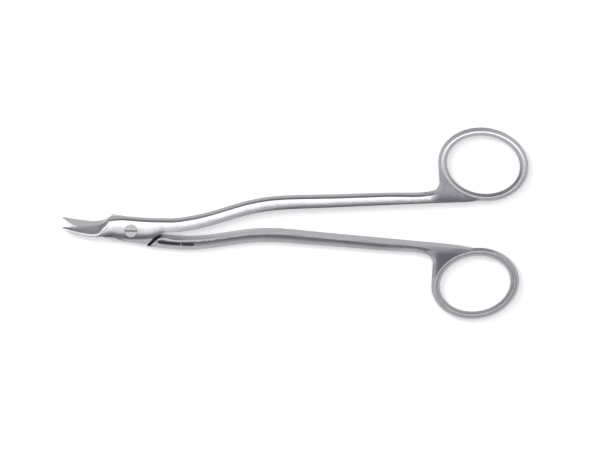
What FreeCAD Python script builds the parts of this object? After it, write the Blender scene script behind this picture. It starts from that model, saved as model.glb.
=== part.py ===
import FreeCAD, Part
import Sketcher
import math
import os

# Suture scissors with two ring handles, lying flat and slightly open.
# The pivot axis is Z, X runs from the pivot to the finger rings, Y runs up the picture and Z is up.
# Each half is drawn closed, in a frame of its own: "across" is its Y, the outer face looks up and
# the two halves slide on each other at mid height. The back half is that same frame turned over
# about X, so one set of functions makes both halves.

doc = FreeCAD.newDocument("SutureScissors")

SIZES = (
    ("joint_thickness", 4.6, "both halves together at the pivot"),
    ("joint_play", 0.04, "gap between the two sliding faces"),
    ("opening_angle", 7.4, "angle between the halves as they lie"),
    ("ground_depth", 0.15, "ground off the back joint so that it lies flat"),
    ("blade_length", 25.2, "pivot to tip along the closed scissors"),
    ("blade_lift", 4.4, "how far the tip turns up from the root of the spine"),
    ("blade_root", 10.0, "pivot to the root of the blade"),
    ("spine_drop", 1.45, "root of the front blade's spine below the pivot"),
    ("edge_height", 2.9, "the front cutting edge above the pivot"),
    ("back_spine_height", 2.75, "the back blade's spine above the pivot"),
    ("corner_reach", 7.1, "pivot to the corner where the blade starts"),
    ("corner_height", 5.6, "height of that corner above the pivot"),
    ("edge_thickness", 0.12, "blade at its cutting edge"),
    ("tip_thickness", 0.4, "blade at its tip"),
    ("rim_width", 0.9, "land beside the spine that the grinding leaves"),
    ("lip_width", 0.75, "bright lip between the land and the ground face"),
    ("lip_angle", 9.0, "slope of that lip"),
    ("hollow_depth", 0.12, "depth of the hollow in the ground face"),
    ("front_low", 3.2, "front joint below the pivot"),
    ("back_low", 4.9, "back joint on the side of the upper shank"),
    ("back_high", 4.15, "back joint on the side of the lower shank"),
    ("shoulder_distance", 8.45, "pivot to the shoulder wall"),
    ("shoulder_angle", 43.0, "slant of the shoulder wall"),
    ("shoulder_gap", 0.2, "closed joint short of the shoulder"),
    ("skirt_width", 1.9, "bevel below the crown of the front joint, beside the shoulder"),
    ("shoulder_cove", 0.3, "round at the foot of the shoulder"),
    ("shoulder_chamfer", 0.35, "chamfer along the top of the shoulder"),
    ("shank_start", 14.0, "pivot to the full section of the shanks"),
    ("shank_foot", -0.95, "meeting line of the shanks beside the joint"),
    ("bend_start", 17.0, "pivot to the start of the bend"),
    ("bend_length", 36.0, "length of the bend"),
    ("bend_rise", 5.25, "rise of the meeting line over the bend"),
    ("shank_fall", 0.0255, "fall of the meeting line for each mm after the bend"),
    ("shank_lap", 1.0, "overlap of the slanted inner faces beside the joint"),
    ("shank_width", 5.15, "width of each shank along the bend"),
    ("neck_width", 4.4, "width of each shank at the ring"),
    ("shank_thickness", 4.2, "thickness of each shank after the bend"),
    ("neck_thickness", 3.7, "thickness of each shank at the ring"),
    ("bevel_width", 1.6, "long bevel on the outer edge of each shank"),
    ("bevel_angle", 48.0, "slope of that bevel"),
    ("crown_angle", 14.0, "slope of the crown at its ridge"),
    ("fall_angle", 30.0, "slope of the crown at its inner edge"),
    ("inner_bevel", 1.6, "slanted inner face seen in plan"),
    ("neck_radius", 3.6, "fillet between shank and ring"),
    ("web_thickness", 2.9, "flat web between shank and ring"),
    ("web_bevel", 1.25, "bevel round the neck"),
    ("ring_end", 3.1, "width of the rings at their ends"),
    ("ring_side", 2.78, "width of the rings at their sides"),
    ("ring_thickness", 3.9, "rings seen from the side"),
    ("ring_land", 0.8, "blunt edge of the rings inside and outside"),
    ("ring_crown", 1.1, "rounded crest of the rings"),
    ("front_ring_x", 129.4, "centre of the front ring"),
    ("front_ring_long", 13.35, "half the length of the hole in the front ring"),
    ("front_ring_short", 10.55, "half the width of the hole in the front ring"),
    ("front_ring_angle", -12.5, "turn of the front ring"),
    ("front_ring_gap", 0.0, "front ring above the meeting line"),
    ("front_ring_drift", -0.13, "hole off the centre of the front ring"),
    ("front_crest_drift", -0.35, "crest off the middle of the front ring"),
    ("back_ring_x", 126.1, "centre of the back ring"),
    ("back_ring_long", 12.95, "half the length of the hole in the back ring"),
    ("back_ring_short", 10.05, "half the width of the hole in the back ring"),
    ("back_ring_angle", -14.0, "turn of the back ring"),
    ("back_ring_gap", 0.4, "back ring above the meeting line"),
    ("back_ring_drift", 0.1, "hole off the centre of the back ring"),
    ("back_crest_drift", 0.15, "crest off the middle of the back ring"),
    ("screw_head", 4.5, "diameter of the screw's head"),
    ("screw_head_height", 1.3, "height of the screw's head"),
    ("screw_shank", 3.0, "diameter of the screw below its head"),
    ("screw_sink", 0.1, "head below the top of the crown"),
    ("slot_width", 0.55, "slot in the screw's head"),
    ("slot_depth", 0.6, "slot in the screw's head"),
    ("pivot_clearance", 0.05, "running clearance round the screw"),
)

sheet = doc.addObject("Spreadsheet::Sheet", "Sizes")
for row, (alias, value, meaning) in enumerate(SIZES, start=1):
    sheet.set(f"A{row}", "'" + meaning)
    sheet.set(f"B{row}", str(value))
    sheet.setAlias(f"B{row}", alias)
doc.recompute()


def size(alias):
    """Read one driving dimension from the spreadsheet."""
    return float(sheet.get(alias))


def slope(alias):
    """Rise over run of an angle from the spreadsheet."""
    return math.tan(math.radians(size(alias)))


MID = size("joint_thickness") / 2
SPANS_PER_FACE = 3
# The front spine from tip to root: shares of the blade's length and of its lift.
SPINE_CURVE = ((1.0, 1.0), (0.945, 0.82), (0.85, 0.615), (0.665, 0.37), (0.45, 0.175), (0.22, 0.03))


def smooth_step(share):
    """Rise from 0 to 1 with level ends."""
    held = min(max(share, 0.0), 1.0)
    return 0.5 - 0.5 * math.cos(math.pi * held)


def blend(share, first, last):
    """Go from the first value to the last one along a straight line."""
    return first + (last - first) * min(max(share, 0.0), 1.0)


def meeting_line(x):
    """Height of the line between the two closed shanks."""
    bend_start = size("bend_start")
    bend_end = bend_start + size("bend_length")
    rise = size("bend_rise") * smooth_step((x - bend_start) / size("bend_length"))
    fall = size("shank_fall") * max(0.0, x - 1.08 * bend_end)
    return size("shank_foot") + rise - fall


def add_feature(name, shape):
    """Put a shape made here into the document."""
    feature = doc.addObject("Part::Feature", name)
    feature.Shape = shape
    return feature


class Ring:
    """The outer edge of one finger ring, an ellipse that rests on the low edge of its shank."""

    def __init__(self, half, side):
        self.half = half
        self.side = side
        self.turn = size(half + "_ring_angle")
        self.long_half = size(half + "_ring_long") + size("ring_end")
        self.short_half = size(half + "_ring_short") + size("ring_side")
        self.x = size(half + "_ring_x")
        self.lean = -side * math.degrees(math.atan(size("shank_fall")))
        gap = size(half + "_ring_gap")
        self.y = side * meeting_line(self.x) + gap + self.extent(self.lean - 90)
        self.near = self.x - self.extent(180)

    def extent(self, heading):
        """Distance from the centre to the tangent line that faces a heading in degrees."""
        angle = math.radians(heading - self.turn)
        return math.hypot(self.long_half * math.cos(angle), self.short_half * math.sin(angle))

    def touch(self, heading):
        """Where that tangent line touches the outer edge."""
        angle = math.radians(heading - self.turn)
        reach = self.extent(heading)
        spot = FreeCAD.Vector(self.long_half ** 2 * math.cos(angle) / reach,
                              self.short_half ** 2 * math.sin(angle) / reach, 0)
        return FreeCAD.Rotation(self.turn, 0, 0).multVec(spot) + FreeCAD.Vector(self.x, self.y, 0)

    def low_edge(self, x):
        """The low edge of the shank, which runs into the ring where they touch."""
        foot = self.touch(self.lean - 90)
        share = (x - self.near) / (foot.x - self.near)
        above = foot.y - self.side * meeting_line(foot.x)
        return self.side * meeting_line(x) + smooth_step(share) * above


FRONT = Ring("front", 1)
BACK = Ring("back", -1)
NECK = min(FRONT.near, BACK.near) - size("neck_radius")


def shank_lap(x):
    """Overlap of the slanted inner faces, which fades towards the rings."""
    left = 1.0 - (x - size("shank_start")) / (NECK - size("shank_start"))
    return size("shank_lap") * max(0.0, left) ** 2


def shank_width(x):
    """Width of a shank, narrower behind the bend."""
    bend_end = size("bend_start") + size("bend_length")
    return blend((x - bend_end) / (0.92 * NECK - bend_end), size("shank_width"), size("neck_width"))


def half_thickness(x):
    """Height of the crown above the middle, from the joint to the ring."""
    bend_end = size("bend_start") + size("bend_length")
    shank = size("shank_thickness") / 2
    if x < bend_end:
        return blend((x - size("shank_start")) / size("bend_length"), MID, shank)
    return blend((x - bend_end) / (NECK - bend_end), shank, size("neck_thickness") / 2)


def half_section(x, low, high, height, bevel, inner, fall=None, rise=None, crest=0.43):
    """The section of a half at x: crown, long bevel, blunt edge, under slope and inner face."""
    top = high - low - bevel
    peak = low + crest * top
    fall_slope = math.tan(math.radians(size("fall_angle") if fall is None else fall))
    rise_slope = math.tan(math.radians(size("crown_angle") if rise is None else rise))
    inner_edge = height - 0.5 * fall_slope * (peak - low)
    ridge = height - 0.5 * rise_slope * (high - bevel - peak)
    drop = bevel * slope("bevel_angle")
    blunt_top = ridge - drop
    blunt_foot = min(blunt_top - 0.25 * bevel, -0.1)
    points = [
        (low, inner_edge),
        (0.5 * (low + peak), height - 0.25 * (height - inner_edge)),
        (peak, height),
        (0.5 * (high - bevel + peak), height - 0.25 * (height - ridge)),
        (high - bevel, ridge),
        (high - 0.43 * bevel, ridge - 0.5 * drop + 0.07 * bevel),
        (high, blunt_top),
        (high, 0.5 * (blunt_top + blunt_foot)),
        (high, blunt_foot),
        (0.45 * high + 0.55 * (low + inner), -0.62 * height + 0.38 * blunt_foot - 0.05 * (high - low)),
        (low + inner, -height),
        (low + 0.5 * inner, 0.5 * (inner_edge - height)),
    ]
    return [FreeCAD.Vector(x, across, MID + up) for across, up in points]


def side_surface(first, middle, last):
    """A surface through three curves that share their knots, quadratic from side to side."""
    poles = []
    for start, through, end in zip(first.getPoles(), middle.getPoles(), last.getPoles()):
        poles.append([start, through * 2 - (start + end) * 0.5, end])
    counts = first.getMultiplicities()
    surface = Part.BSplineSurface()
    surface.buildFromPolesMultsKnots(
        poles, counts, [3, 3], first.getKnots(), [0.0, 1.0], False, False, first.Degree, 2
    )
    return surface


def sew(faces):
    """A solid from the faces that close it."""
    shell = Part.Shell(faces)
    shell.sewShape()
    solid = Part.Solid(shell)
    if solid.Volume < 0:
        solid.reverse()
    return solid


def skin(name, sections):
    """A solid through closed sections that each hold a corner, a point on its side, and so on round."""
    ends = sections[0][0].x, sections[-1][0].x
    shares = [(section[0].x - ends[0]) / (ends[1] - ends[0]) for section in sections]
    columns = []
    for spots in zip(*sections):
        curve = Part.BSplineCurve()
        curve.interpolate(Points=list(spots), Parameters=shares)
        columns.append(curve)
    faces = []
    rims = [[], []]
    cuts = shares[:-2:int(SPANS_PER_FACE)] + [1.0]
    for corner_index in range(0, len(columns), 2):
        last = columns[(corner_index + 2) % len(columns)]
        surface = side_surface(columns[corner_index], columns[corner_index + 1], last)
        for start, end in zip(cuts, cuts[1:]):
            piece = surface.copy()
            piece.segment(start, end, 0.0, 1.0)
            faces.append(piece.toShape())
        poles = surface.getPoles()
        for rim, row in zip(rims, (poles[0], poles[-1])):
            arc = Part.BezierCurve()
            arc.setPoles(row)
            rim.append(arc.toShape())
    faces += [Part.Face(Part.Wire(rim)) for rim in rims]
    return add_feature(name, sew(faces))


def blade_height(x):
    """Height of the crown over the blade, thin at the tip and full at the joint."""
    start = 0.4 * size("corner_reach")
    share = max(0.0, -x - start) / (size("blade_length") - start)
    return blend(share ** 1.6, MID, size("tip_thickness"))


def joint_share(x):
    """From 0 on the blade to 1 on the joint."""
    root = size("blade_root")
    return blend((x + 1.3 * root) / (0.45 * root), 0.0, 1.0)


def half_strip(name, blade_edges, joint_edges, ring):
    """The forging that runs through blade, joint and shank of one half into its ring."""
    bevel = size("bevel_width")
    start = size("shank_start")
    sections = []
    for x, low, high in blade_edges:
        joint = joint_share(x)
        fall = blend(joint, 4.0, 22.0)
        crest = blend(joint, 0.1, 0.35)
        land = 0.3 * (high - low)
        sections.append(half_section(x, low, high, blade_height(x), land, 0.05, fall=fall, rise=6.0, crest=crest))
    for x, low, high, inner in joint_edges:
        sections.append(half_section(x, low, high, blade_height(x), bevel, inner))
    neck = ring.near - size("neck_radius")
    for share in (0.0, 0.07, 0.15, 0.23, 0.31, 0.41, 0.55, 0.72, 0.88, 1.0):
        x = start + (neck - start) * share
        low = ring.low_edge(x) - shank_lap(x) / 2
        high = low + shank_width(x)
        sections.append(half_section(x, low, high, half_thickness(x), bevel, size("inner_bevel")))
    foot = ring.touch(ring.lean - 90)
    web = size("web_thickness") / 2
    for share, width, rise, inset in ((0.0, 1.1, 0.2, 0.0), (0.28, 1.05, 0.16, 0.0), (0.58, 0.85, 0.1, 0.0),
                                      (0.8, 0.5, -0.25, 0.08), (1.0, 0.3, -0.95, 0.2)):
        x = ring.near + (foot.x - ring.near) * share
        low = ring.low_edge(x) + inset * size("neck_width")
        wide = width * size("neck_width")
        sections.append(half_section(x, low, low + wide, web + rise, 0.3 * wide, 0.3 * wide,
                                     rise=blend(4 * share, size("crown_angle"), 6.0),
                                     crest=blend(4 * share, 0.43, 0.2)))
    return skin(name, sections)


def plan_prism(name, points, curved, bottom, top):
    """An upright prism whose outline is a smooth curve through some points, closed by straight lines."""
    spots = [FreeCAD.Vector(x, across, bottom) for x, across in points]
    curve = Part.BSplineCurve()
    curve.interpolate(spots[:curved])
    edges = [curve.toShape()]
    corners = spots[curved - 1:] + [spots[0]]
    for first, last in zip(corners, corners[1:]):
        edges.append(Part.LineSegment(first, last).toShape())
    face = Part.Face(Part.Wire(edges))
    return add_feature(name, face.extrude(FreeCAD.Vector(0, 0, top - bottom)))


def ground_face(name, stations):
    """The hollow grinding of a blade's outer face, from the cutting edge up to the lip and the land."""
    hollow = size("hollow_depth")
    beyond = size("edge_height")
    lip = size("lip_width")
    sections = []
    for x, edge, edge_up, rim, rim_up in stations:
        corners = [
            (rim - lip, rim_up),
            (rim, rim_up - lip * slope("lip_angle")),
            (edge, edge_up),
            (edge + beyond, edge_up - 0.2 * beyond),
            (edge + beyond, 1.3 * MID),
            (rim - lip, 1.3 * MID),
        ]
        section = []
        for first, last in zip(corners, corners[1:] + corners[:1]):
            section.append(first)
            section.append((0.5 * (first[0] + last[0]), 0.5 * (first[1] + last[1])))
        section[3] = (section[3][0], section[3][1] - hollow)
        sections.append([FreeCAD.Vector(x, across, MID + up) for across, up in section])
    return skin(name, sections)


def shoulder_frame():
    """The foot of the shoulder wall, its direction and the direction away from the pivot."""
    angle = math.radians(size("shoulder_angle"))
    away = FreeCAD.Vector(math.sin(angle), math.cos(angle), 0)
    along = FreeCAD.Vector(math.cos(angle), -math.sin(angle), 0)
    return away * size("shoulder_distance"), along, away


def shoulder_recess(name):
    """What is milled away below the sliding plane, up to the slanted shoulder and its cove."""
    foot, along, away = shoulder_frame()
    reach = 1.3 * size("blade_length")
    corners = [foot - along * reach, foot + along * reach]
    corners += [FreeCAD.Vector(-2 * reach, -reach, 0), FreeCAD.Vector(-2 * reach, reach, 0)]
    lowered = [corner - FreeCAD.Vector(0, 0, MID) for corner in corners + corners[:1]]
    face = Part.Face(Part.makePolygon(lowered))
    level = MID + size("joint_play") / 2
    block = face.extrude(FreeCAD.Vector(0, 0, level + MID))
    wall_top = [
        edge for edge in block.Edges
        if abs(edge.CenterOfMass.z - level) < 0.001 and abs((edge.CenterOfMass - foot).dot(away)) < 0.001
    ]
    return add_feature(name, block.makeFillet(size("shoulder_cove"), wall_top))


def shoulder_edge(name):
    """The chamfer between the shoulder wall and the outside of the shank, as a long wedge."""
    foot, along, away = shoulder_frame()
    chamfer = size("shoulder_chamfer")
    side = size("joint_thickness")
    profile = [(-chamfer, -side), (chamfer + side, -side), (0, chamfer), (-chamfer, chamfer)]
    start = foot - along * side * 3
    spots = [start + away * out + FreeCAD.Vector(0, 0, up) for out, up in profile]
    face = Part.Face(Part.makePolygon(spots + spots[:1]))
    return add_feature(name, face.extrude(along * side * 6))


def ring_ellipse(ring, out, up):
    """An ellipse round the hole of a ring, some share of the way out and some height up."""
    half = ring.half
    drift = (1 - out) * size(half + "_ring_drift") + 4 * out * (1 - out) * size(half + "_crest_drift")
    ellipse = Part.Ellipse(
        FreeCAD.Vector(0, 0, 0),
        size(half + "_ring_long") + out * size("ring_end"),
        size(half + "_ring_short") + out * size("ring_side"),
    )
    ellipse.rotate(FreeCAD.Placement(FreeCAD.Vector(0, 0, 0), FreeCAD.Rotation(ring.turn, 0, 0)))
    ellipse.translate(FreeCAD.Vector(ring.x, ring.y + drift, MID + up))
    return ellipse.toShape()


def finger_ring(name, ring):
    """A ring of narrow facets: blunt edges, bevels and a rounded crest above and below."""
    top = size("ring_thickness") / 2
    land = size("ring_land") / 2
    crown = size("ring_crown") / (size("ring_end") + size("ring_side"))
    sag = 0.3 * size("ring_crown")
    upper = [(0.0, land)]
    for place in (-1.0, -0.6, -0.2, 0.2, 0.6, 1.0):
        upper.append((0.5 + crown * place, top - sag * place ** 2))
    upper.append((1.0, land))
    outline = upper + [(out, -up) for out, up in reversed(upper)]
    rims = [ring_ellipse(ring, out, up) for out, up in outline]
    facets = [Part.makeRuledSurface(first, last) for first, last in zip(rims, rims[1:] + rims[:1])]
    return add_feature(name, sew(facets))


def ring_web(name, ring):
    """The flat web between shank and ring, bevelled round the neck."""
    half = size("web_thickness") / 2
    radius = size("neck_radius")
    near = ring.near
    inset = 0.1
    top = ring.low_edge(near - radius) + shank_width(near - radius) - inset
    start = near - 1.6 * radius
    top_start = ring.low_edge(start) + shank_width(start) - inset
    side = ring.touch(180)
    foot = ring.touch(ring.lean - 90)
    inside = 0.35 * size("neck_width")
    ease = radius * (1 - math.sqrt(0.5))
    spots = [
        (start, ring.low_edge(start) + inside),
        (start, top_start),
        (near - radius, top),
        (near - ease, top + ease),
        (near, top + radius),
        (near, side.y),
        (near + 0.5 * size("ring_end"), side.y + 1.0),
        (ring.x - 0.3 * ring.long_half, ring.y),
        (foot.x - 0.1 * ring.long_half, foot.y + 0.5 * size("ring_side")),
        (ring.x - 0.35 * ring.long_half, ring.low_edge(near) + inside),
    ]
    spots = [FreeCAD.Vector(x, across, MID - half) for x, across in spots]
    edges = [Part.Arc(*spots[2:5]).toShape()]
    corners = spots[4:] + spots[:3]
    for first, last in zip(corners, corners[1:]):
        edges.append(Part.LineSegment(first, last).toShape())
    plate = Part.Face(Part.Wire(Part.sortEdges(edges)[0])).extrude(FreeCAD.Vector(0, 0, 2 * half))
    outer = [
        edge for edge in plate.Edges
        if edge.BoundBox.ZLength < 0.001 and edge.BoundBox.YMin > top - 0.5
        and edge.BoundBox.XMax < near + 0.01
        and edge.BoundBox.XLength + edge.BoundBox.YLength > 0.5 * radius
    ]
    plate = plate.makeChamfer(size("web_bevel"), outer)
    disc = Part.Face(Part.Wire([ring_ellipse(ring, 0.5, -2 * MID)]))
    disc = disc.extrude(FreeCAD.Vector(0, 0, 4 * MID))
    return add_feature(name, plate.cut(disc))


def joint_end(name):
    """What is trimmed off the front joint, so that it ends beside the shoulder of the other half."""
    foot, along, away = shoulder_frame()
    distance = size("shoulder_distance") - size("shoulder_gap")
    away = FreeCAD.Vector(away.x, -away.y, 0)
    inner = size("shank_foot") - 0.5 * size("shank_lap") - size("shoulder_gap")
    reach = 3 * size("corner_height")

    def on_wall(across):
        return FreeCAD.Vector((distance - across * away.y) / away.x, across, -MID)

    corners = [on_wall(inner), on_wall(-reach), FreeCAD.Vector(2 * reach, -reach, -MID),
               FreeCAD.Vector(2 * reach, inner, -MID)]
    face = Part.Face(Part.makePolygon(corners + corners[:1]))
    return add_feature(name, face.extrude(FreeCAD.Vector(0, 0, 4 * MID)))


def cylinder(name, diameter, bottom, height):
    """An upright cylinder on the pivot axis, bound to the sheet."""
    shape = doc.addObject("Part::Cylinder", name)
    shape.setExpression("Radius", f"({diameter}) / 2")
    shape.setExpression("Height", height)
    shape.setExpression("Placement.Base.z", bottom)
    return shape


def cut_all(name, base, tools):
    """Cut several tools from a shape."""
    pool = doc.addObject("Part::MultiFuse", name + "_tools")
    pool.Shapes = tools
    step = doc.addObject("Part::Cut", name)
    step.Base = base
    step.Tool = pool
    return step


def fuse_all(name, shapes):
    """Join shapes into one piece, which is a part of its own."""
    step = doc.addObject("Part::MultiFuse", name)
    step.Shapes = shapes
    step.Label = name
    return step


def blade_x(share):
    """A place on the blade, from 0 at its root to 1 at its tip, or beyond either end."""
    return -size("blade_root") - share * (size("blade_length") - size("blade_root"))


def neck_x(share):
    """A place between the root of the blade, at 0, and the corner of the joint, at 1."""
    return -size("blade_root") + share * (size("blade_root") - size("corner_reach"))


lift = size("blade_lift")
drop = size("spine_drop")
corner = -size("corner_reach")
corner_height = size("corner_height")
edge_height = size("edge_height")
front_low = size("front_low")
back_low = size("back_low")
back_high = size("back_high")
back_spine = size("back_spine_height")
thin = size("edge_thickness")
rim_width = size("rim_width")
start = size("shank_start")


def front_spine(share):
    """Height of the front blade's spine, between the points of its curve."""
    curve = ((1.2, 1.9),) + SPINE_CURVE + ((0.0, 0.0), (-1.0, 0.0))
    for (far, far_up), (near, near_up) in zip(curve, curve[1:]):
        if near <= share <= far:
            return lift * blend((share - near) / (far - near), near_up, far_up) - drop
    return -drop


# Front half: its spine turns up to the tip and its cutting edge faces the back blade.
front_blade = [
    (blade_x(along), lift * up - drop, blend(along, corner_height, 1.2 * edge_height))
    for along, up in SPINE_CURVE
]
front_blade.append((blade_x(0.0), -drop - 0.05, corner_height))
skirt = size("skirt_width")
front_joint = [
    (corner, -drop - 0.12 * front_low, corner_height, -0.15 * skirt),
    (0.35 * corner, -0.86 * front_low, corner_height, -1.1 * skirt),
    (0.0, -0.98 * front_low, 0.94 * corner_height, -1.5 * skirt),
    (0.285 * start, -1.03 * front_low, 0.834 * corner_height, -2.0 * skirt),
    (0.515 * start, -1.0 * front_low, 0.764 * corner_height, -2.2 * skirt),
    (0.62 * start, -0.86 * front_low, 0.74 * corner_height, -1.3 * skirt),
    (0.7 * start, -0.7 * front_low, 0.725 * corner_height, -0.2 * skirt),
    (0.76 * start, -0.54 * front_low, 0.716 * corner_height, 0.8 * size("inner_bevel")),
    (0.84 * start, -0.44 * front_low, 0.7 * corner_height, 1.05 * size("inner_bevel")),
]
front_strip = half_strip("front_strip", front_blade, front_joint, FRONT)
front_edge = plan_prism("front_edge", [
    (neck_x(1.0), corner_height + 0.02),
    (neck_x(0.67), 0.85 * corner_height),
    (blade_x(0.0), 1.19 * edge_height),
    (blade_x(0.13), edge_height),
    (blade_x(0.5), 0.97 * edge_height),
    (blade_x(0.8), 1.06 * edge_height),
    (blade_x(0.954), 1.04 * edge_height),
    (blade_x(1.02), 0.91 * edge_height),
    (blade_x(1.2), 0.91 * edge_height),
    (blade_x(1.2), 2 * corner_height),
    (neck_x(1.0), 2 * corner_height),
], 8, -MID, 3 * MID)
front_stations = [
    (1.1, edge_height, thin, 0.9 * edge_height, size("tip_thickness")),
    (0.914, 1.045 * edge_height, thin, front_spine(0.914) + 0.6 * rim_width, None),
    (0.704, 1.035 * edge_height, thin, front_spine(0.704) + rim_width, None),
    (0.441, edge_height, thin, front_spine(0.441) + rim_width, None),
    (0.21, 0.97 * edge_height, thin, -drop + 1.28 * rim_width, None),
    (0.086, 1.035 * edge_height, thin, -drop + 1.94 * rim_width, None),
    (-0.004, 1.2 * edge_height, 1.6 * thin, -drop + 3.44 * rim_width, None),
    (-0.059, 1.38 * edge_height, 2.3 * thin, 0.4 * corner_height, None),
    (-0.118, 0.857 * corner_height, 2.8 * thin, 0.571 * corner_height, None),
    (-0.21, 1.02 * corner_height, 5 * thin, 0.732 * corner_height, None),
]


def ground_stations(stations):
    """Turn shares of the blade into places, and find the height of the rim where none is given."""
    places = []
    for share, edge, edge_up, rim, rim_up in stations:
        x = blade_x(share)
        places.append((x, edge, edge_up, rim, blade_height(x) if rim_up is None else rim_up))
    return places


front_ground = ground_face("front_ground", ground_stations(front_stations))

# Back half, turned over: its spine carries the corner and its cutting edge runs straight into the joint.
back_blade = [
    (blade_x(1.0), -0.80 * lift, -0.68 * lift),
    (blade_x(0.947), -0.95 * lift, -0.60 * lift),
    (blade_x(0.855), -0.95 * lift, -0.385 * lift),
    (blade_x(0.664), -0.95 * lift, -0.08 * lift),
    (blade_x(0.46), -0.95 * lift, 0.17 * lift),
    (blade_x(0.237), -1.1 * lift, 0.42 * lift),
    (blade_x(0.072), -1.25 * lift, 0.74 * lift),
]
back_joint = [
    (corner, -1.018 * corner_height, 0.93 * back_high, 0.15),
    (0.4 * corner, -1.09 * back_low, 0.99 * back_high, 0.15),
    (0.0, -1.0 * back_low, 1.01 * back_high, 0.15),
    (0.25 * start, -0.83 * back_low, 1.09 * back_high, 0.15),
    (0.465 * start, -0.62 * back_low, 1.22 * back_high, 0.15),
    (0.643 * start, -0.15 * back_low, 1.29 * back_high, 1.62 * size("inner_bevel")),
    (0.814 * start, 0.06 * back_low, 1.32 * back_high, size("inner_bevel")),
]
back_strip = half_strip("back_strip", back_blade, back_joint, BACK)
back_edge = plan_prism("back_edge", [
    (neck_x(1.0), -corner_height - 0.02),
    (neck_x(0.67), -0.85 * corner_height),
    (blade_x(0.0), -1.30 * back_spine),
    (blade_x(0.105), -1.11 * back_spine),
    (blade_x(0.224), -back_spine),
    (blade_x(0.5), -1.03 * back_spine),
    (blade_x(0.8), -1.17 * back_spine),
    (blade_x(0.967), -1.27 * back_spine),
    (blade_x(1.02), -1.27 * back_spine),
    (blade_x(1.2), -1.27 * back_spine),
    (blade_x(1.2), -2 * corner_height),
    (neck_x(1.0), -2 * corner_height),
], 9, -MID, 3 * MID)
back_stations = [
    (1.1, -0.70 * lift, thin, -0.76 * lift, size("tip_thickness")),
    (0.914, -0.50 * lift, thin, -back_spine, None),
    (0.704, -0.12 * lift, thin, -back_spine + 0.8 * rim_width, None),
    (0.441, 0.19 * lift, thin, -back_spine + rim_width, None),
    (0.21, 0.45 * lift, thin, -back_spine + 1.28 * rim_width, None),
    (0.086, 0.72 * lift, thin, -back_spine + 1.94 * rim_width, None),
    (-0.004, 0.8 * lift, 1.6 * thin, -back_spine + 3.44 * rim_width, None),
    (-0.059, 0.88 * back_high, 2.3 * thin, 0.12 * back_high, None),
    (-0.118, 0.90 * back_high, 2.8 * thin, 0.39 * back_high, None),
    (-0.21, 0.97 * back_high, 5 * thin, 0.55 * back_high, None),
]
back_ground = ground_face("back_ground", ground_stations(back_stations))

# The joint: each half is milled down to the sliding plane, and the front half is bored for the screw.
head_seat = "Sizes.joint_thickness - Sizes.screw_sink - Sizes.screw_head_height"
through = "3 * Sizes.joint_thickness"
below = "-Sizes.joint_thickness"
front_recess = shoulder_recess("front_recess")
back_recess = shoulder_recess("back_recess")
back_chamfer = shoulder_edge("back_chamfer")
front_bore = cylinder("front_bore", "Sizes.screw_shank + 2 * Sizes.pivot_clearance", below, through)
front_sink = cylinder("front_sink", "Sizes.screw_head + 2 * Sizes.pivot_clearance",
                      head_seat + " - Sizes.pivot_clearance", through)
back_bore = cylinder("back_bore", "Sizes.screw_shank", below, through)
back_flat = doc.addObject("Part::Box", "back_flat")
for side, bound in (("Length", "4 * Sizes.blade_length"), ("Width", "4 * Sizes.blade_length"),
                    ("Height", "Sizes.joint_thickness"), ("Placement.Base.x", "-2 * Sizes.blade_length"),
                    ("Placement.Base.y", "-2 * Sizes.blade_length"),
                    ("Placement.Base.z", "Sizes.joint_thickness - Sizes.ground_depth")):
    back_flat.setExpression(side, bound)

front_end = joint_end("front_end")
front_blank = cut_all("front_blank", front_strip,
                      [front_edge, front_ground, front_recess, front_end, front_bore, front_sink])
front_web = ring_web("front_web", FRONT)
front_ring = finger_ring("front_ring", FRONT)
front_half = fuse_all("front_half", [front_blank, front_web, front_ring])
front_half.setExpression(
    "Placement", "placement(vector(0; 0; -Sizes.ground_depth); rotation(Sizes.opening_angle / 2; 0; 0))"
)

back_blank = cut_all("back_blank", back_strip,
                     [back_edge, back_ground, back_recess, back_chamfer, back_bore, back_flat])
back_web = ring_web("back_web", BACK)
back_ring = finger_ring("back_ring", BACK)
back_half = fuse_all("back_half", [back_blank, back_web, back_ring])
back_half.setExpression(
    "Placement",
    "placement(vector(0; 0; Sizes.joint_thickness - Sizes.ground_depth); "
    "rotation(-Sizes.opening_angle / 2; 0; 180))",
)


def origin_plane(body, role):
    """One of the body's own origin planes."""
    return next(plane for plane in body.Origin.OriginFeatures if plane.Role == role)


def closed_sketch(body, name, plane, corners, level, upright):
    """A closed outline of straight lines, of which the named ones are level or upright."""
    sketch = body.newObject("Sketcher::SketchObject", name)
    sketch.AttachmentSupport = [(origin_plane(body, plane), "")]
    sketch.MapMode = "FlatFace"
    for first, last in zip(corners, corners[1:] + corners[:1]):
        sketch.addGeometry(Part.LineSegment(FreeCAD.Vector(*first, 0), FreeCAD.Vector(*last, 0)))
    for line in range(len(corners)):
        sketch.addConstraint(Sketcher.Constraint("Coincident", line, 2, (line + 1) % len(corners), 1))
    for kind, lines in (("Horizontal", level), ("Vertical", upright)):
        for line in lines:
            sketch.addConstraint(Sketcher.Constraint(kind, line))
    return sketch


def measure(sketch, kind, line, value, expression):
    """Bind the extent of one line to the sheet."""
    index = sketch.addConstraint(Sketcher.Constraint(kind, line, 1, line, 2, value))
    sketch.setExpression(f"Constraints[{index}]", expression)


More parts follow.
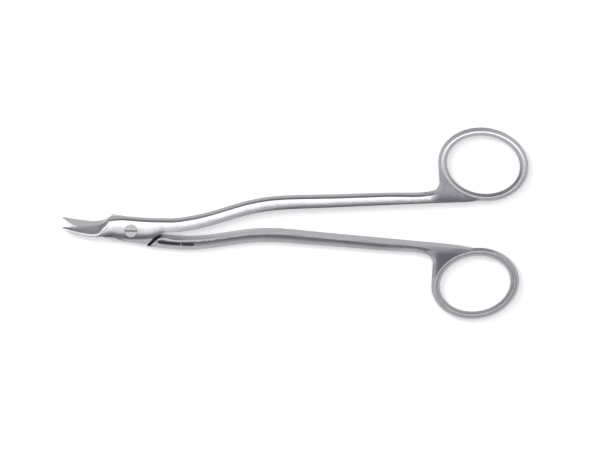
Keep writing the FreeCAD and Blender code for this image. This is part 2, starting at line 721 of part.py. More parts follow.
# The pivot screw: a slotted flat head, a plain bearing and a threaded end filed level with the back half.
pivot_screw = doc.addObject("PartDesign::Body", "pivot_screw")
pivot_screw.Label = "pivot_screw"
profile = closed_sketch(pivot_screw, "screw_profile", "XZ_Plane",
                        [(0, 0), (1.5, 0), (1.5, 3), (2.25, 3), (2.25, 4), (0, 4)], (0, 2, 4), (1, 3, 5))
profile.addConstraint(Sketcher.Constraint("Coincident", 0, 1, -1, 1))
measure(profile, "DistanceX", 0, 1.5, "Sizes.screw_shank / 2")
measure(profile, "DistanceX", 4, -2.25, "-Sizes.screw_head / 2")
measure(profile, "DistanceY", 3, 1.0, "Sizes.screw_head_height")
measure(profile, "DistanceY", 5, -4.0, "-(Sizes.joint_thickness - Sizes.screw_sink - Sizes.ground_depth)")
turned = pivot_screw.newObject("PartDesign::Revolution", "screw_turned")
turned.Profile = profile
turned.ReferenceAxis = (profile, ["V_Axis"])
turned.Angle = 360.0
slot = closed_sketch(pivot_screw, "slot_outline", "XY_Plane",
                     [(-4, -0.3), (4, -0.3), (4, 0.3), (-4, 0.3)], (0, 2), (1, 3))
slot.setExpression(
    "AttachmentOffset.Base.z", "Sizes.joint_thickness - Sizes.screw_sink - Sizes.ground_depth"
)
slot.addConstraint(Sketcher.Constraint("Symmetric", 0, 1, 1, 2, -1, 1))
measure(slot, "DistanceX", 0, 8.0, "2 * Sizes.screw_head")
measure(slot, "DistanceY", 1, 0.6, "Sizes.slot_width")
slot_cut = pivot_screw.newObject("PartDesign::Pocket", "screw_slot")
slot_cut.Profile = slot
slot_cut.setExpression("Length", "Sizes.slot_depth")
doc.recompute()

faults = [item.Name for item in doc.Objects if {"Invalid", "Error"} & set(item.State)]
if faults:
    raise RuntimeError("failed objects: " + ", ".join(faults))
os.makedirs("parts", exist_ok=True)
for item in (front_half, back_half, pivot_screw):
    if item.Shape.isNull() or not item.Shape.isValid() or len(item.Shape.Solids) != 1:
        raise RuntimeError("bad shape: " + item.Label)
    item.Shape.exportStep(f"parts/{item.Label}.step")
    print(item.Label, round(item.Shape.Volume, 1), "mm3", item.Shape.BoundBox)
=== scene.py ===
import math
from typing import NamedTuple

import bpy
from bpy.props import FloatProperty, FloatVectorProperty, PointerProperty
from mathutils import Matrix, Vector


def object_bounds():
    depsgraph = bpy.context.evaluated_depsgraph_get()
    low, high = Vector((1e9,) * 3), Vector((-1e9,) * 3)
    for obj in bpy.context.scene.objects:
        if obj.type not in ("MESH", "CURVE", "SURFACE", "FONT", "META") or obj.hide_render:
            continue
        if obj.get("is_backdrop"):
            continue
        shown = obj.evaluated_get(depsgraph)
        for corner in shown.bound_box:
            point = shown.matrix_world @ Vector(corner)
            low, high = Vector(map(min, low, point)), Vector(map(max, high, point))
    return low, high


bl_info = {
    "name": "Suture Scissors",
    "version": (1, 0, 0),
    "blender": (4, 5, 0),
    "location": "View3D > Sidebar > Scissors",
    "description": "Dresses a pair of suture scissors in satin steel "
                   "and sets a plain studio round it",
    "category": "Object",
}

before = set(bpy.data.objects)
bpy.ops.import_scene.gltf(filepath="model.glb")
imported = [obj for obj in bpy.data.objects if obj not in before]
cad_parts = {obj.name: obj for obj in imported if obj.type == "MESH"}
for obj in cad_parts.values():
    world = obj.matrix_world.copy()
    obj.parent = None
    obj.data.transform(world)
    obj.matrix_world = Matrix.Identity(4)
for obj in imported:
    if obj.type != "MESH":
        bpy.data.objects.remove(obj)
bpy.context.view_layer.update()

HALVES = ("front_half", "back_half")
SCREW = "pivot_screw"

# Lengths and places are in metres from the pivot: X runs to the finger rings, Y to the ring of
# the front half, and Z up to the slotted head. The lean, slope and level of a face are the X, Y
# and Z of its normal, and off is the distance from the plane between the halves.
# A mask rises between the two numbers of a start and falls between those of an end. A side, belt
# or reach is where a mask is full, and its fade is how far it spreads past that.
# A share brightens or darkens the colour of the steel.

# The plane between the halves, the roots of the blades and the roots of the rings.
MID_HEIGHT = 0.00215
BLADE_ROOT_START = (-0.0115, -0.0085)
RING_ROOT_START = (0.113, 0.119)

# Steep faces get painted shade, and painted light on the inner bevel of the back shank beside the
# joint.
STEEP_END = (0.62, 0.8)
STEEP_SHARE = 0.84
INNER_SIDE = (-0.006, 0.0002)
INNER_FADE = 0.002
INNER_START = (0.008, 0.012)
INNER_END = (0.03, 0.055)
INNER_SHARE = 1.3

# The ground faces of the blades are level and get painted shade.
GROUND_START = (0.97, 0.985)
GROUND_SHARE = 0.72

# The rim of the front blade turns down under its lip and gets painted shade.
RIM_END = (-0.0105, -0.0045)
RIM_SLOPE_END = (-0.05, 0.0)
RIM_HEIGHT_START = (0.00213, 0.00217)
RIM_SHARE = 0.4

# The end of the hollow climbs from the ground face to the joint and gets painted shade.
HOLLOW_REACH = (-0.0135, -0.0075)
HOLLOW_FADE = 0.0008
HOLLOW_LEAN_END = (-0.45, -0.08)
HOLLOW_SLOPE_START = (0.3, 0.42)
HOLLOW_SHARE = 0.5

# The lip between the ground face and the rim, toned down with painted shade.
LIP_END = (-0.0075, -0.0055)
LIP_LEVEL_START = (0.9, 0.95)
LIP_SLOPES = (0.1, 0.25)
LIP_SLOPE_FADE = 0.04
LIP_TOP_END = (0.0, 0.001)
LIP_SHARE = 0.62

# The foot and slant of the shoulder's wall on the back half, and the ends of the painted shade
# and highlight beside it.
SHOULDER_FOOT = (0.00687, -0.00527)
SHOULDER_SLANT = math.radians(39.3)
SHOULDER_FADE = 0.0003

# The groove on one side of the wall is painted dark as shade, and the edge on the other side gets
# a painted highlight.
GROOVE_SIDE = (0.0, 0.0008)
GROOVE_FADE = 0.0002
GROOVE_REACH = (0.006, 0.011)
GROOVE_OFF_END = (0.0005, 0.0009)
EDGE_SIDE = (-0.0006, -0.0002)
EDGE_FADE = 0.0001
EDGE_REACH = (0.0065, 0.0108)
EDGE_HEIGHT_START = (0.0028, 0.0032)
EDGE_SHARE = 1.6

# Two plain dark bars etched along the lower shank: their reaches, low end, bend and half width.
BAR_REACHES = ((0.0100, 0.0179), (0.0184, 0.0228))
BAR_REACH_FADE = 0.0001
BAR_LOW = -0.0049
BAR_BEND = 5.5
BAR_HALF = 0.00046
BAR_FADE = 0.00012
BAR_HEIGHT_START = (0.0022, 0.0026)
BAR_DIRT = 0.9

# The round seam between the front half and the head of the screw, and the slot of the head, both
# with painted shade.
SEAM_BELT = (0.00175, 0.00235)
SEAM_FADE = 0.00012
SEAM_SHADE = 0.3
HEAD_START = (0.003, 0.0032)
SLOT_END = (0.0040, 0.0041)
SLOT_SHADE = 0.6

# The webs between shanks and rings are level and sunk, painted dark as shade, with painted light
# in two places.
WEB_START = (0.1075, 0.1125)
WEB_LEVEL_START = (0.94, 0.98)
WEB_OFF = (0.00135, 0.00175)
WEB_OFF_FADE = 0.00008
WEB_DARK = (0.17, 0.17, 0.20)
WEB_LIGHT = (0.40, 0.40, 0.44)
WEB_LIGHT_BELT = (-0.0062, 0.004)
WEB_LIGHT_FADE = 0.0026
WEB_LIGHT_START = (0.0105, 0.015)
WEB_ROUGHNESS = 0.12

# How the polishing marks are packed along X, Y and Z on the shanks, the blades and the rings.
GRAIN_ALONG = (0.04, 1, 1)
GRAIN_ACROSS = (1, 0.06, 0.3)
GRAIN_EVEN = (0.5, 0.5, 0.5)

# Scale, detail and roughness of the noise behind the marks, the clouds and the finer haze.
GRAIN_NOISE = (1.0, 2.0, 0.6)
CLOUD_NOISE = (260.0, 3.0, 0.55)
HAZE_NOISE = (900.0, 2.0, 0.5)

# How far they change the tone of the steel, and its roughness.
TONE_SHARES = (0.93, 1.05)
CLOUD_TONE = 0.7
GRAIN_TONE = 0.3
CLOUD_ROUGHNESS = 0.10
HAZE_ROUGHNESS = 0.06
GRAIN_ROUGHNESS = 0.05

# The dark colour and added roughness of the painted shade in the shoulder's groove, the seam and
# the slot, and of the etched bars.
SHADE_AND_ETCH_COLOR = (0.03, 0.03, 0.033)
SHADE_AND_ETCH_ROUGHNESS = 0.3

# Faces that meet at less than this angle look like one curved face.
SMOOTH_ANGLE = math.radians(20)

# No normal is turned on a face that is less level than this.
LEVEL_ENOUGH = 0.6


class Crest(NamedTuple):
    """The middle of a ring, how far its crest leans, and how that grows across the ring."""

    x: float
    y: float
    lean: float
    growth: float


# The crest of each ring is polished flatter than its facets. It lies on an oval with these half
# axes, between these shares of them, and this far from the middle plane.
UPPER_CREST = Crest(0.1281, 0.0241, 0.068, 5.0)
LOWER_CREST = Crest(0.1251, -0.0192, 0.02, -1.5)
CREST_HALVES = (0.0146, 0.0118)
CREST_SPREAD = (0.82, 1.18)
CREST_HEIGHT = 0.00166
CREST_ROUND = 0.15

# Where the crest of a shank runs out in the web, and how level its faces are there.
RUN_OUT = (0.1085, 0.1130)
RUN_OUT_LEVEL = 0.94

# Beside the joint both shanks are ground: the low side of the front shank is flatter, and the
# crest of the back shank leans inwards. The stretch starts, is full, fades and ends at these
# places, and a face belongs to it if it slopes between the two tangents.
GROUND_STRETCH = (0.009, 0.013, 0.036, 0.058)
FRONT_SLOPES = (-0.7, -0.08)
FRONT_FLATTER = 0.6
BACK_SLOPES = (-0.27, -0.04)
BACK_LEAN = 0.17

# The size of one pixel of the photograph, its frame in pixels and the pivot's place in it.
PIXEL = 0.170 / 467.5
FRAME_WIDTH = 600
FRAME_CENTRE = (300.0, 225.0)
PIVOT_PIXEL = (131.1, 231.0)

# Width of the camera's sensor in millimetres, and how far the camera sees.
SENSOR_WIDTH = 36.0
SIGHT = 20.0

# Half the side of the floor, its finish, and how it glows to the camera and in reflections.
FLOOR_HALF = 1.5
FLOOR_ROUGHNESS = 0.9
GLOW_COLOR = (0.98, 0.99, 1.0)
GLOW_STRENGTH = 0.37
GLOW_REFLECTED = 0.25

# How bright the studio is: from the wall towards -Y, at 0, over the ceiling, at 0.5, to the wall
# towards +Y, at 1. The walls towards -X and +X add some light, and more where they slant up.
STUDIO_WALLS = (
    (0.0, 0.8), (0.015, 0.75), (0.06, 0.42), (0.1, 0.2), (0.17, 0.16), (0.24, 0.3), (0.33, 0.65),
    (0.42, 0.62), (0.5, 0.3), (0.6, 0.6), (0.8, 0.36), (0.92, 0.36), (0.97, 0.18), (1.0, 0.18),
)
SIDE_WALL = 0.1
SIDE_SLANT = 0.8

# The lamps: the softbox leans over the scissors, the card hangs over the blades and the joint,
# and the key lamp stands off at the upper left.
SOFTBOX_DISTANCE = 0.9
SOFTBOX_LEAN = math.radians(21)
SOFTBOX_LENGTHS = (1.5, 0.24)
CARD_PLACE = (-0.2, 0.0)
CARD_HEIGHT = 0.5
CARD_LENGTHS = (0.5, 0.3)
KEY_OFFSET = (-0.6, 0.6)
KEY_HEIGHT = 0.85
KEY_LENGTHS = (0.35, 0.35)


class SteelFinish(bpy.types.PropertyGroup):
    """The satin steel of the two halves and of the screw."""

    half_color: FloatVectorProperty(
        name="Half colour", description="Colour of the steel of the two halves",
        subtype="COLOR", min=0.0, max=1.0, default=(0.575, 0.58, 0.60))
    screw_color: FloatVectorProperty(
        name="Screw colour", description="Colour of the turned steel of the screw",
        subtype="COLOR", min=0.0, max=1.0, default=(0.54, 0.54, 0.55))
    roughness: FloatProperty(
        name="Roughness", description="How far the satin finish spreads a reflection",
        subtype="FACTOR", min=0.0, max=1.0, default=0.24)
    grain_pitch: FloatProperty(
        name="Grain pitch", description="Distance between the polishing marks",
        subtype="DISTANCE", unit="LENGTH", min=0.00001, default=0.00012)
    grain_depth: FloatProperty(
        name="Grain depth", description="Depth of the polishing marks",
        subtype="DISTANCE", unit="LENGTH", min=0.0, default=0.0000015)


class StudioSetting(bpy.types.PropertyGroup):
    """The floor, the lamps and the camera."""

    floor_color: FloatVectorProperty(
        name="Floor colour", description="Colour of the floor",
        subtype="COLOR", min=0.0, max=1.0, default=(0.80, 0.80, 0.81))
    camera_height: FloatProperty(
        name="Camera height", description="Height of the camera over the scissors",
        subtype="DISTANCE", unit="LENGTH", min=0.1, default=1.4)
    softbox_light: FloatProperty(
        name="Softbox light", description="Brightness of the long softbox overhead",
        min=0.0, default=1.9)
    card_light: FloatProperty(
        name="Card light", description="Brightness of the card over the blades and the joint",
        min=0.0, default=0.60)
    key_light: FloatProperty(
        name="Key light", description="Power of the lamp that throws the soft shadow",
        subtype="POWER", unit="POWER", min=0.0, default=4.0)
    sky_light: FloatProperty(
        name="Sky light", description="Brightness of the studio walls and ceiling",
        min=0.0, default=1.0)


class Value:
    """A shader value that adds its own Math nodes when it is used in an expression."""

    def __init__(self, graph, socket):
        self.graph = graph
        self.socket = socket

    def __add__(self, other):
        return self.graph.maths("ADD", self, other)

    def __radd__(self, other):
        return self.graph.maths("ADD", other, self)

    def __sub__(self, other):
        return self.graph.maths("SUBTRACT", self, other)

    def __rsub__(self, other):
        return self.graph.maths("SUBTRACT", other, self)

    def __mul__(self, other):
        return self.graph.maths("MULTIPLY", self, other)

    def __rmul__(self, other):
        return self.graph.maths("MULTIPLY", other, self)


class Graph:
    """The nodes of one material or world."""

    def __init__(self, owner):
        owner.use_nodes = True
        self.tree = owner.node_tree
        self.tree.nodes.clear()

    def node(self, kind, settings=None, **sockets):
        """Add a node, set it up, then fill its sockets with values or links.

        A socket goes by its name, with _ for a space, or by the letter i and its number.
        """
        made = self.tree.nodes.new(kind)
        for key, setting in (settings or {}).items():
            if key == "stops":
                self.set_stops(made.color_ramp, setting)
            else:
                setattr(made, key, setting)
        for key, value in sockets.items():
            name = key.replace("_", " ")
            socket = made.inputs[int(name[1:])] if name[1:].isdigit() else made.inputs[name]
            if isinstance(value, Value):
                self.tree.links.new(value.socket, socket)
            else:
                socket.default_value = value
        return made

    def out(self, made, name=0):
        """One output of a node, as a value."""
        return Value(self, made.outputs[name])

    def maths(self, operation, *terms):
        """A Math node on its terms."""
        sockets = {f"i{index}": term for index, term in enumerate(terms)}
        return self.out(self.node("ShaderNodeMath", {"operation": operation}, **sockets))

    def set_stops(self, ramp, stops):
        """Give a colour ramp, which starts with two stops, its places and colours."""
        for extra in range(len(stops) - 2):
            ramp.elements.new(0.5)
        for element, (place, color) in zip(ramp.elements, stops):
            element.position = place
            element.color = color

    def step(self, value, low, high):
        """Rise from 0 to 1 while a value goes from low to high."""
        made = self.node("ShaderNodeMapRange", {"interpolation_type": "SMOOTHSTEP"},
                         i0=value, i1=low, i2=high, i3=0.0, i4=1.0)
        return self.out(made)

    def band(self, value, low, high, fade):
        """1 between low and high, and 0 further out than the fade."""
        return self.step(value, low - fade, low) * (1 - self.step(value, high, high + fade))

    def noise(self, place, scale, detail, roughness):
        """Noise in space, about 0.5."""
        return self.out(self.node(
            "ShaderNodeTexNoise", Vector=place, Scale=scale, Detail=detail, Roughness=roughness))

    def tint(self, factor, first, second):
        """Mix two colours."""
        made = self.node("ShaderNodeMix", {"data_type": "RGBA"}, i0=factor, i6=first, i7=second)
        return self.out(made, 2)


class Surface:
    """Where a point of the steel lies and which way it faces, as shader values."""

    def __init__(self, graph):
        texture = graph.node("ShaderNodeTexCoord")
        self.place = graph.out(texture, "Object")
        axes = graph.node("ShaderNodeSeparateXYZ", i0=self.place)
        self.x, self.y, self.z = [graph.out(axes, axis) for axis in "XYZ"]
        facing = graph.node("ShaderNodeSeparateXYZ", i0=graph.out(texture, "Normal"))
        self.lean, self.slope, upward = [graph.out(facing, axis) for axis in "XYZ"]
        self.level = graph.maths("ABSOLUTE", upward)
        self.steep = 1 - graph.step(self.level, *STEEP_END)


def opaque(color, share=1.0):
    """A colour with its alpha, brightened or darkened."""
    return (*[channel * share for channel in color], 1.0)


def polishing_marks(graph, surface, pitch, packing):
    """Polishing marks a pitch apart, packed by a share along each axis."""
    axes = zip((surface.x, surface.y, surface.z), packing)
    sockets = {f"i{index}": axis * (share / pitch) for index, (axis, share) in enumerate(axes)}
    place = graph.out(graph.node("ShaderNodeCombineXYZ", **sockets))
    return graph.noise(place, *GRAIN_NOISE)


def satin(graph, surface, color, grain, roughness):
    """The uneven tone and roughness of satin steel, with painted shade on steep faces."""
    cloud = graph.noise(surface.place, *CLOUD_NOISE)
    haze = graph.noise(surface.place, *HAZE_NOISE)
    dark, light = [opaque(color, share) for share in TONE_SHARES]
    tone = graph.tint(cloud * CLOUD_TONE + grain * GRAIN_TONE, dark, light)
    # Painted shade on steep faces.
    tone = graph.tint(surface.steep, tone, opaque(color, STEEP_SHARE))
    uneven = (cloud - 0.5) * CLOUD_ROUGHNESS + (haze - 0.5) * HAZE_ROUGHNESS
    return tone, uneven + (grain - 0.5) * GRAIN_ROUGHNESS + roughness


def inner_bevel(graph, surface):
    """The bevel of the back shank that faces the front shank, beside the joint, which gets
    painted light.
    """
    side = graph.band(surface.y, *INNER_SIDE, INNER_FADE)
    reach = graph.step(surface.x, *INNER_START) * (1 - graph.step(surface.x, *INNER_END))
    return surface.steep * side * reach


def blade_shades(graph, surface, on_blade):
    """The parts of the blades with painted shade, each with its share."""
    ground = on_blade * graph.step(surface.level, *GROUND_START)
    rim = (1 - graph.step(surface.x, *RIM_END)) * (1 - graph.step(surface.slope, *RIM_SLOPE_END))
    rim = rim * graph.step(surface.z, *RIM_HEIGHT_START)
    hollow = graph.band(surface.x, *HOLLOW_REACH, HOLLOW_FADE)
    hollow = hollow * (1 - graph.step(surface.lean, *HOLLOW_LEAN_END))
    hollow = hollow * graph.step(surface.slope, *HOLLOW_SLOPE_START)
    lip = (1 - graph.step(surface.x, *LIP_END)) * (1 - graph.step(surface.y, *LIP_TOP_END))
    lip = lip * graph.step(surface.level, *LIP_LEVEL_START)
    lip = lip * graph.band(surface.slope, *LIP_SLOPES, LIP_SLOPE_FADE)
    return (ground, GROUND_SHARE), (rim, RIM_SHARE), (hollow, HOLLOW_SHARE), (lip, LIP_SHARE)


def off_shoulder(surface):
    """How far a point lies from the shoulder's wall."""
    along = (surface.x - SHOULDER_FOOT[0]) * math.sin(SHOULDER_SLANT)
    return (surface.y - SHOULDER_FOOT[1]) * math.cos(SHOULDER_SLANT) - along


def shoulder_groove_shade(graph, surface, beside):
    """The groove at the foot of the shoulder's wall, painted dark as shade."""
    groove = graph.band(beside, *GROOVE_SIDE, GROOVE_FADE)
    groove = groove * graph.band(surface.x, *GROOVE_REACH, SHOULDER_FADE)
    off_middle = graph.maths("ABSOLUTE", surface.z - MID_HEIGHT)
    return groove * (1 - graph.step(off_middle, *GROOVE_OFF_END))


def shoulder_edge_highlight(graph, surface, beside):
    """The edge of the shoulder, which gets a painted highlight."""
    edge = graph.band(beside, *EDGE_SIDE, EDGE_FADE)
    edge = edge * graph.band(surface.x, *EDGE_REACH, SHOULDER_FADE)
    return edge * graph.step(surface.z, *EDGE_HEIGHT_START)


def screw_seam_shade(graph, surface):
    """The seam round the head of the screw, painted dark as shade."""
    radius = graph.maths("SQRT", surface.x * surface.x + surface.y * surface.y)
    return graph.band(radius, *SEAM_BELT, SEAM_FADE)


def etched_bars(graph, surface):
    """The two dark bars, which bend with the lower shank."""
    first, second = [graph.band(surface.x, *reach, BAR_REACH_FADE) for reach in BAR_REACHES]
    left = BAR_REACHES[1][1] - surface.x
    across = surface.y - (left * left * BAR_BEND + BAR_LOW)
    bars = (first + second) * graph.band(across, -BAR_HALF, BAR_HALF, BAR_FADE)
    return bars * graph.step(surface.z, *BAR_HEIGHT_START)


def sunk_web(graph, surface):
    """The sunk face of a web."""
    web = graph.step(surface.x, *WEB_START) * graph.step(surface.level, *WEB_LEVEL_START)
    off_middle = graph.maths("ABSOLUTE", surface.z - MID_HEIGHT)
    return web * graph.band(off_middle, *WEB_OFF, WEB_OFF_FADE)


def web_shade_and_light(graph, surface):
    """The steel of the webs, painted dark as shade, with painted light in two places."""
    light = graph.band(surface.y, *WEB_LIGHT_BELT, WEB_LIGHT_FADE)
    light = light + graph.step(surface.y, *WEB_LIGHT_START)
    return graph.tint(light, opaque(WEB_DARK), opaque(WEB_LIGHT))


def close_steel(graph, tone, roughness, grain, shade_and_marks, depth):
    """Lay the painted shade and etched bars on the steel, press its grain in and close the
    material.
    """
    bump = graph.node("ShaderNodeBump", Strength=1.0, Distance=depth, Height=grain)
    steel = graph.node(
        "ShaderNodeBsdfPrincipled", Metallic=1.0, Normal=graph.out(bump),
        Base_Color=graph.tint(shade_and_marks, tone, opaque(SHADE_AND_ETCH_COLOR)),
        Roughness=roughness + shade_and_marks * SHADE_AND_ETCH_ROUGHNESS)
    graph.node("ShaderNodeOutputMaterial", Surface=graph.out(steel))


def half_steel(finish):
    """Satin steel with grain along each part, painted shade and light on ground blades, shanks,
    webs and joint, and etched bars.
    """
    material = bpy.data.materials.new("half_steel")
    graph = Graph(material)
    surface = Surface(graph)
    color = finish.half_color

    on_blade = 1 - graph.step(surface.x, *BLADE_ROOT_START)
    on_ring = graph.step(surface.x, *RING_ROOT_START)
    along, across, even = [
        polishing_marks(graph, surface, finish.grain_pitch, packing)
        for packing in (GRAIN_ALONG, GRAIN_ACROSS, GRAIN_EVEN)
    ]
    grain = along * ((1 - on_blade) * (1 - on_ring)) + across * on_blade + even * on_ring
    tone, roughness = satin(graph, surface, color, grain, finish.roughness)

    # Painted light on the inner bevel of the back shank.
    tone = graph.tint(inner_bevel(graph, surface), tone, opaque(color, INNER_SHARE))
    web = sunk_web(graph, surface)
    # Painted shade and light on the webs.
    tone = graph.tint(web, tone, web_shade_and_light(graph, surface))
    beside = off_shoulder(surface)
    # A painted highlight along the shoulder's edge.
    edge = shoulder_edge_highlight(graph, surface, beside)
    # Painted shade on the blades, and the painted highlight of the shoulder's edge.
    for mask, share in (*blade_shades(graph, surface, on_blade), (edge, EDGE_SHARE)):
        tone = graph.tint(mask, tone, opaque(color, share))

    # Painted shade in the shoulder's groove and the seam round the screw, with the etched bars.
    shade_and_marks = shoulder_groove_shade(graph, surface, beside)
    shade_and_marks = graph.maths("MAXIMUM", shade_and_marks, screw_seam_shade(graph, surface) * SEAM_SHADE)
    shade_and_marks = graph.maths("MAXIMUM", shade_and_marks, etched_bars(graph, surface) * BAR_DIRT)
    close_steel(graph, tone, roughness + web * WEB_ROUGHNESS, grain, shade_and_marks, finish.grain_depth)
    return material


def screw_steel(finish):
    """Turned steel with painted shade in the slot of the head."""
    material = bpy.data.materials.new("screw_steel")
    graph = Graph(material)
    surface = Surface(graph)
    grain = polishing_marks(graph, surface, finish.grain_pitch, GRAIN_EVEN)
    tone, roughness = satin(graph, surface, finish.screw_color, grain, finish.roughness)
    # Painted shade in the slot of the head.
    slot = graph.step(surface.z, *HEAD_START) * (1 - graph.step(surface.z, *SLOT_END))
    close_steel(graph, tone, roughness, grain, slot * SLOT_SHADE, finish.grain_depth)
    return material


def polish_rings(mesh, normals):
    """Turn the normals on the crests of the rings, and where a shank runs out in its web."""
    for face in mesh.polygons:
        if face.center.x < RUN_OUT[0] or abs(face.normal.z) < LEVEL_ENOUGH:
            continue
        crest = UPPER_CREST if face.center.y > 0 else LOWER_CREST
        spread = math.hypot((face.center.x - crest.x) / CREST_HALVES[0],
                            (face.center.y - crest.y) / CREST_HALVES[1])
        height = abs(face.center.z - MID_HEIGHT)
        on_crest = CREST_SPREAD[0] < spread < CREST_SPREAD[1] and height > CREST_HEIGHT
        in_web = spread >= CREST_SPREAD[1] and abs(face.normal.z) >= RUN_OUT_LEVEL
        if not on_crest and not in_web:
            continue
        for corner in face.loop_indices:
            place = mesh.vertices[mesh.loops[corner].vertex_index].co
            turned = normals[corner] / abs(normals[corner].z)
            if on_crest:
                lean = crest.lean + (place.y - crest.y) * crest.growth
                turned.x *= CREST_ROUND
                turned.y = turned.y * CREST_ROUND + lean
            else:
                left = max((RUN_OUT[1] - place.x) / (RUN_OUT[1] - RUN_OUT[0]), 0.0)
                turned.x *= left
                turned.y *= left
            normals[corner] = turned.normalized()


def stretch_share(place):
    """1 along the ground stretch of the shanks, falling to 0 past its ends."""
    start, full, fade, end = GROUND_STRETCH
    return max(0.0, min((place - start) / (full - start), (end - place) / (end - fade), 1.0))


def grind_shanks(mesh, node, normals):
    """Turn the normals beside the joint to those of the ground stretch."""
    low, high = FRONT_SLOPES if node == "front_half" else BACK_SLOPES
    for face in mesh.polygons:
        if face.normal.z < LEVEL_ENOUGH or not low < face.normal.y / face.normal.z < high:
            continue
        for corner in face.loop_indices:
            share = stretch_share(mesh.vertices[mesh.loops[corner].vertex_index].co.x)
            turned = normals[corner] / normals[corner].z
            if node == "front_half":
                turned.y *= 1 - FRONT_FLATTER * share
            else:
                turned.y += BACK_LEAN * share
            normals[corner] = turned.normalized()


def smooth_faces(mesh, node):
    """Shade narrow facets as the rounded steel they stand for, and leave true edges sharp."""
    if "custom_normal" in mesh.attributes:
        mesh.attributes.remove(mesh.attributes["custom_normal"])
    mesh.shade_smooth()
    mesh.set_sharp_from_angle(angle=SMOOTH_ANGLE)
    normals = [corner.vector.copy() for corner in mesh.corner_normals]
    if node in HALVES:
        polish_rings(mesh, normals)
        grind_shanks(mesh, node, normals)
    mesh.normals_split_custom_set(normals)


def dress(node, material):
    """Give a CAD node its finish."""
    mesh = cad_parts[node].data
    smooth_faces(mesh, node)
    mesh.materials.clear()
    mesh.materials.append(material)


def floor_material(color):
    """A pale matt floor that shows white to the camera and keeps the shadow."""
    material = bpy.data.materials.new("floor_card")
    graph = Graph(material)
    ray = graph.node("ShaderNodeLightPath")
    seen = graph.out(ray, "Is Camera Ray") + graph.out(ray, "Is Glossy Ray") * GLOW_REFLECTED
    glow = graph.tint(seen, opaque((0.0, 0.0, 0.0)), opaque(GLOW_COLOR))
    card = graph.node("ShaderNodeBsdfPrincipled", Base_Color=opaque(color),
                      Roughness=FLOOR_ROUGHNESS, Emission_Color=glow,
                      Emission_Strength=GLOW_STRENGTH)
    graph.node("ShaderNodeOutputMaterial", Surface=graph.out(card))
    return material


def floor_mesh(centre, height):
    """One large square."""
    mesh = bpy.data.meshes.new("floor")
    corners = [(centre[0] + side * FLOOR_HALF, centre[1] + end * FLOOR_HALF, height)
               for side, end in ((-1, -1), (1, -1), (1, 1), (-1, 1))]
    mesh.from_pydata(corners, [], [(0, 1, 2, 3)])
    return mesh


def studio_world(brightness):
    """Walls and a ceiling that show in the steel, and a white background for the camera."""
    world = bpy.data.worlds.new("studio")
    graph = Graph(world)
    ray = graph.node("ShaderNodeLightPath")
    facing = graph.out(graph.node("ShaderNodeTexCoord"), "Generated")
    axes = graph.node("ShaderNodeSeparateXYZ", i0=facing)
    side, ahead = graph.out(axes, "X"), graph.out(axes, "Y")
    stops = [(place, opaque((light, light, light))) for place, light in STUDIO_WALLS]
    walls = graph.node("ShaderNodeValToRGB", {"stops": stops}, Fac=ahead * 0.5 + 0.5)
    sides = side * side * (SIDE_WALL + (1 - side * side) * SIDE_SLANT)
    sky = (graph.out(walls) + sides) * brightness
    camera_share = graph.out(ray, "Is Camera Ray")
    strength = camera_share + (1 - camera_share) * sky
    background = graph.node(
        "ShaderNodeBackground", Color=opaque((1.0, 1.0, 1.0)), Strength=strength)
    graph.node("ShaderNodeOutputWorld", Surface=graph.out(background))
    return world


def add_lamp(name, place, aim, lengths, power, glossy):
    """A rectangular lamp that faces a point."""
    lamp = bpy.data.lights.new(name, "AREA")
    lamp.shape = "RECTANGLE"
    lamp.size, lamp.size_y = lengths
    lamp.energy = power
    holder = bpy.data.objects.new(name, lamp)
    holder.location = place
    turn = (Vector(aim) - Vector(place)).to_track_quat("-Z", "Y")
    holder.rotation_euler = turn.to_euler()
    holder.visible_glossy = glossy
    holder.visible_camera = False
    bpy.context.scene.collection.objects.link(holder)


def panel_power(brightness, lengths):
    """The power that makes a lamp of these lengths look this bright."""
    return brightness * math.pi * lengths[0] * lengths[1]


def add_lamps(studio, centre):
    """The softbox and the card, which show in the steel, and the key lamp, which doesn't."""
    aim = (*centre, 0.0)
    place = (centre[0], centre[1] + SOFTBOX_DISTANCE * math.sin(SOFTBOX_LEAN),
             SOFTBOX_DISTANCE * math.cos(SOFTBOX_LEAN))
    power = panel_power(studio.softbox_light, SOFTBOX_LENGTHS)
    add_lamp("softbox", place, aim, SOFTBOX_LENGTHS, power, True)
    power = panel_power(studio.card_light, CARD_LENGTHS)
    add_lamp("card", (*CARD_PLACE, CARD_HEIGHT), (*CARD_PLACE, 0.0), CARD_LENGTHS, power, True)
    place = (centre[0] + KEY_OFFSET[0], centre[1] + KEY_OFFSET[1], KEY_HEIGHT)
    add_lamp("key_lamp", place, aim, KEY_LENGTHS, studio.key_light, False)


def add_camera(centre, top, distance):
    """A camera straight above, which sees what the photograph shows."""
    lens = bpy.data.cameras.new("camera")
    lens.sensor_width = SENSOR_WIDTH
    lens.lens = SENSOR_WIDTH * distance / (FRAME_WIDTH * PIXEL)
    lens.clip_end = SIGHT
    camera = bpy.data.objects.new("camera", lens)
    camera.location = (*centre, top / 2 + distance)
    bpy.context.scene.collection.objects.link(camera)
    return camera


class SCISSORS_OT_halves(bpy.types.Operator):
    """Dress the two halves in satin steel"""

    bl_idname = "scissors.halves"
    bl_label = "Halves"

    def execute(self, context):
        material = half_steel(context.scene.scissors_finish)
        for node in HALVES:
            dress(node, material)
        return {"FINISHED"}


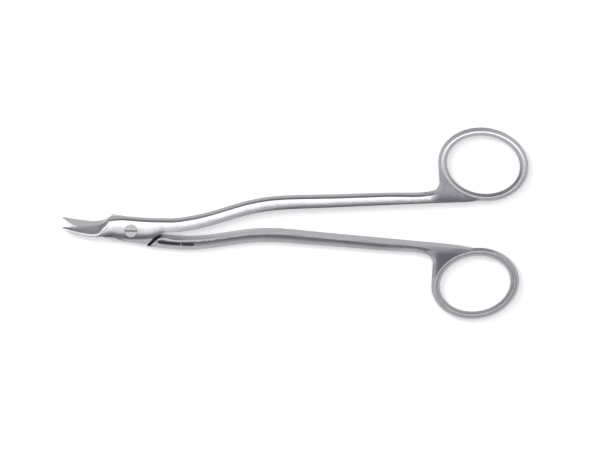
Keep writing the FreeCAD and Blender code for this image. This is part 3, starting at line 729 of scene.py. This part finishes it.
class SCISSORS_OT_screw(bpy.types.Operator):
    """Dress the slotted pivot screw in turned steel"""

    bl_idname = "scissors.screw"
    bl_label = "Pivot screw"

    def execute(self, context):
        dress(SCREW, screw_steel(context.scene.scissors_finish))
        return {"FINISHED"}


class SCISSORS_OT_stage(bpy.types.Operator):
    """Set the floor, the studio lamps and the camera"""

    bl_idname = "scissors.stage"
    bl_label = "Stage"

    def execute(self, context):
        scene = context.scene
        studio = scene.scissors_studio
        low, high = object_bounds()
        centre = ((FRAME_CENTRE[0] - PIVOT_PIXEL[0]) * PIXEL,
                  (PIVOT_PIXEL[1] - FRAME_CENTRE[1]) * PIXEL)

        floor = bpy.data.objects.new("floor", floor_mesh(centre, low[2]))
        scene.collection.objects.link(floor)
        floor.data.materials.append(floor_material(studio.floor_color))
        floor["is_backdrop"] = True

        scene.world = studio_world(studio.sky_light)
        add_lamps(studio, centre)
        scene.camera = add_camera(centre, high[2], studio.camera_height)
        scene.view_settings.view_transform = "Standard"
        return {"FINISHED"}


class SCISSORS_PT_panel(bpy.types.Panel):
    """The steps and settings in the sidebar"""

    bl_label = "Suture Scissors"
    bl_space_type = "VIEW_3D"
    bl_region_type = "UI"
    bl_category = "Scissors"

    def draw(self, context):
        layout = self.layout
        for step in (SCISSORS_OT_halves, SCISSORS_OT_screw, SCISSORS_OT_stage):
            layout.operator(step.bl_idname)
        for settings in (context.scene.scissors_finish, context.scene.scissors_studio):
            for name in settings.__annotations__:
                layout.prop(settings, name)


CLASSES = (
    SteelFinish,
    StudioSetting,
    SCISSORS_OT_halves,
    SCISSORS_OT_screw,
    SCISSORS_OT_stage,
    SCISSORS_PT_panel,
)


def register():
    for item in CLASSES:
        bpy.utils.register_class(item)
    bpy.types.Scene.scissors_finish = PointerProperty(type=SteelFinish)
    bpy.types.Scene.scissors_studio = PointerProperty(type=StudioSetting)


def unregister():
    del bpy.types.Scene.scissors_studio
    del bpy.types.Scene.scissors_finish
    for item in reversed(CLASSES):
        bpy.utils.unregister_class(item)


def main():
    register()
    bpy.ops.scissors.stage()
    bpy.ops.scissors.halves()
    bpy.ops.scissors.screw()


if __name__ == "__main__":
    main()
